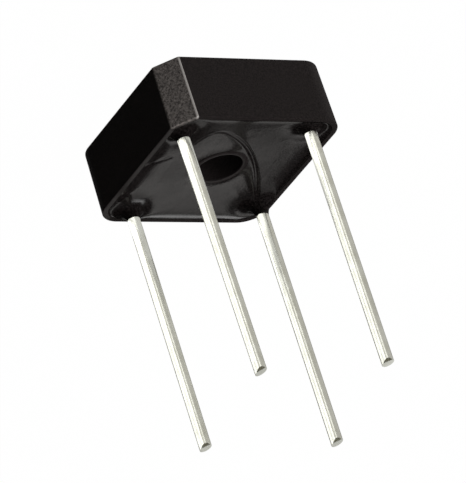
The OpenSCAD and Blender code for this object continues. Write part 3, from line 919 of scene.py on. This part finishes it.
def add_world(scene):
    """White to the camera. Above the horizon mirrors see a soft panel behind the rectifier that
    ends at its foot and to both sides. Its strip to -x and -y is brighter, but dark further up.
    Below the horizon they see a pale floor that is dimmer to +x and +y, behind and towards the
    horizon, and that ends to -x and -y. Matt surfaces take a dim light from +x and +y."""
    world = bpy.data.worlds.new("studio_air")
    scene.world = world
    world.use_nodes = True
    tree = world.node_tree
    tree.nodes.clear()
    ray = node(tree, "ShaderNodeLightPath").outputs
    towards = node(tree, "ShaderNodeTexCoord").outputs["Generated"]
    up, side = (0.0, 0.0, 1.0), (0.7, 0.7, 0.0)
    behind, floor_behind, floor_side = (0.6, -0.8, 0.0), (0.596, -0.803, 0.0), (0.803, 0.596, 0.0)

    def glow(*ramps):
        """Light that is the product of soft steps. Each has a direction, the two places along it
        between which the light changes, and the light before and after."""
        total = 1.0
        for axis, low, high, before, after in ramps:
            along = node(tree, "ShaderNodeVectorMath", {0: towards, 1: axis}, operation="DOT_PRODUCT")
            step = node(tree, "ShaderNodeMapRange", {
                "Value": along, "From Min": low, "From Max": high, "To Min": before, "To Max": after},
                interpolation_type="SMOOTHSTEP")
            total = node(tree, "ShaderNodeMath", {0: total, 1: step}, operation="MULTIPLY")
        return total

    foot = glow((side, -0.2, -0.145, 0.36, 0.012))
    strip = glow((up, 0.452, 0.475, 1.6, 0.15))
    panel = glow((behind, 0.0, 0.3, 0.03, 0.66),
                 (side, -0.148, -0.129, strip, 1.0),
                 (side, -0.32, -0.25, 0.04, 1.0),
                 (side, -0.02, 0.05, 1.0, 0.02),
                 (up, 0.395, 0.442, foot, 1.0),
                 (up, 0.45, 0.62, 1.0, 0.65))
    floor = glow((floor_side, -0.32, -0.12, 1.0, 0.62),
                 (floor_side, -0.56, -0.44, 0.03, 1.0),
                 (floor_behind, 0.5, 0.8, 1.0, 0.4),
                 (up, -0.4, -0.28, 1.0, 0.3))
    above = glow((up, -0.02, 0.02, 0.0, 1.0))
    mirror = node(tree, "ShaderNodeMix", {0: above, 2: floor, 3: panel})
    matt = glow(((0.7, 0.6, 0.35), -0.3, 0.8, 0.01, 0.68))
    mirrored = node(tree, "ShaderNodeMath", {
        0: ray["Is Glossy Ray"], 1: ray["Is Transmission Ray"]}, operation="MAXIMUM")
    air = node(tree, "ShaderNodeMix", {0: mirrored, 2: matt, 3: mirror})
    sky = node(tree, "ShaderNodeBackground", {"Color": (1.0, 0.98, 0.95, 1.0), "Strength": air})
    white = node(tree, "ShaderNodeBackground", {"Color": (1.0, 1.0, 1.0, 1.0), "Strength": 1.0})
    mix = node(tree, "ShaderNodeMixShader", {0: ray["Is Camera Ray"], 1: sky, 2: white})
    node(tree, "ShaderNodeOutputWorld", {"Surface": mix})


def add_lamp(name, place, aim, size, radiance, matt=True):
    """A rectangular soft lamp that looks at aim and whose face has the given radiance."""
    lamp = bpy.data.lights.new(name, "AREA")
    lamp.shape = "RECTANGLE"
    lamp.size, lamp.size_y = size
    lamp.energy = radiance * math.pi * size[0] * size[1]
    made = bpy.data.objects.new(name, lamp)
    bpy.context.scene.collection.objects.link(made)
    made.location = place
    made.rotation_euler = (Vector(aim) - Vector(place)).to_track_quat("-Z", "Y").to_euler()
    made.visible_camera = False
    made.visible_diffuse = matt
    return made


def light_only(lamp, pieces):
    """Lets a lamp reach the given pieces alone, with nothing else to shade them."""
    reached = bpy.data.collections.new(lamp.name + "_reaches")
    for piece in pieces:
        reached.objects.link(piece)
    lamp.light_linking.receiver_collection = reached
    lamp.light_linking.blocker_collection = reached


def add_sheet(name, place, size, turn, radiance, wires):
    """A sheet of light lying just over the potting, facing up, for the given wires."""
    above = place + Vector((0.0, 0.0, 1.0))
    sheet = add_lamp(name, place, above, size, radiance, matt=False)
    sheet.rotation_euler = (math.pi, 0.0, turn)
    light_only(sheet, wires)


def add_lamps():
    """A soft key above, which mirrors don't show, and panels and sheets that only light the wires
    and that only the wires shade."""
    middle = Vector((0.0, 0.0, WIRE_MIDDLE))
    key = add_lamp("key_softbox", KEY_PLACE, middle, (KEY_SIDE, KEY_SIDE), KEY_RADIANCE)
    key.visible_glossy = False
    wires = [bpy.data.objects["wire_" + name] for name in LEAD_NAMES]
    for name, (degrees, rise, width, radiance) in WIRE_PANELS.items():
        way = math.radians(degrees)
        place = middle + Vector((PANEL_AWAY * math.cos(way), PANEL_AWAY * math.sin(way), rise))
        panel = add_lamp("wire_panel_" + name, place, middle, (width, PANEL_TALL), radiance, matt=False)
        light_only(panel, wires)
    # At its foot a wire would mirror black potting; it mirrors these plain sheets of light instead.
    add_sheet("wire_sheet", Vector((0.0, 0.0, RIM - SHEET_DROP)), SHEET_SIZE, 0.0, SHEET_RADIANCE, wires)
    off = Vector((OWN_OFF * math.cos(OWN_WAY), OWN_OFF * math.sin(OWN_WAY), 0.0))
    for wire, name in zip(wires, LEAD_NAMES):
        box_middle = sum((Vector(corner) for corner in wire.bound_box), Vector()) / 8
        place = Vector((*(box_middle + off).xy, RIM - OWN_DROP))
        add_sheet("wire_sheet_" + name, place, OWN_SIZE, OWN_WAY, OWN_RADIANCE, [wire])


def add_edge_light():
    """A narrow lamp close over the -y wall, seen only in the curve of potting there. Nothing
    shades it."""
    away = Vector(EDGE_WAY).normalized()
    across = (Vector((1.0, 0.0, 0.0)) - away * away.x).normalized()
    place = Vector(EDGE_POINT) + away * EDGE_OFF
    lamp = add_lamp("edge_light", place, EDGE_POINT, EDGE_SIZE, EDGE_RADIANCE, matt=False)
    lamp.rotation_euler = Matrix((across, away.cross(across), away)).transposed().to_euler()
    lamp.data.spread = EDGE_SPREAD
    light_only(lamp, [bpy.data.objects["poured_potting"]])
    lamp.light_linking.blocker_collection = None


def add_camera(scene, s):
    """The camera looks down at the rectifier and is rolled so that its wires hang."""
    flat = math.cos(s.elevation)
    out = Vector((flat * math.cos(s.azimuth), flat * math.sin(s.azimuth), math.sin(s.elevation)))
    side = (-out).cross(Vector((0, 0, 1))).normalized()
    above = side.cross(-out)
    right = math.cos(s.roll) * side + math.sin(s.roll) * above
    up = -math.sin(s.roll) * side + math.cos(s.roll) * above
    lens = bpy.data.cameras.new("studio_camera")
    lens.lens = s.lens
    lens.sensor_width = 36.0
    lens.clip_start, lens.clip_end = 0.01, 20.0
    camera = bpy.data.objects.new("studio_camera", lens)
    scene.collection.objects.link(camera)
    turn = Matrix((right, up, out)).transposed().to_4x4()
    camera.matrix_world = Matrix.Translation(Vector(CAMERA_AIM) + out * s.distance) @ turn
    scene.camera = camera


# --- panel and registering -------------------------------------------------------------------

STEPS = (RECTIFIER_OT_case, RECTIFIER_OT_potting, RECTIFIER_OT_leads, RECTIFIER_OT_inner,
         RECTIFIER_OT_stage)


class RECTIFIER_PT_panel(bpy.types.Panel):
    """Lists the pieces and their sizes"""
    bl_label = "Bridge rectifier"
    bl_idname = "RECTIFIER_PT_panel"
    bl_space_type = "VIEW_3D"
    bl_region_type = "UI"
    bl_category = "Rectifier"

    def draw(self, context):
        for step, group in zip(STEPS, SETTINGS):
            box = self.layout.box()
            box.operator(step.bl_idname)
            settings = getattr(context.scene, group)
            for name in settings.bl_rna.properties.keys():
                if name not in ("rna_type", "name"):
                    box.prop(settings, name)


CLASSES = tuple(SETTINGS.values()) + STEPS + (RECTIFIER_PT_panel,)


def register():
    for made in CLASSES:
        bpy.utils.register_class(made)
    for name, group in SETTINGS.items():
        setattr(bpy.types.Scene, name, bpy.props.PointerProperty(type=group))


def unregister():
    for name in SETTINGS:
        delattr(bpy.types.Scene, name)
    for made in reversed(CLASSES):
        bpy.utils.unregister_class(made)


def main():
    register()
    bpy.ops.rectifier.case()
    bpy.ops.rectifier.potting()
    bpy.ops.rectifier.leads()
    bpy.ops.rectifier.inner()
    bpy.ops.rectifier.stage()


if __name__ == "__main__":
    main()
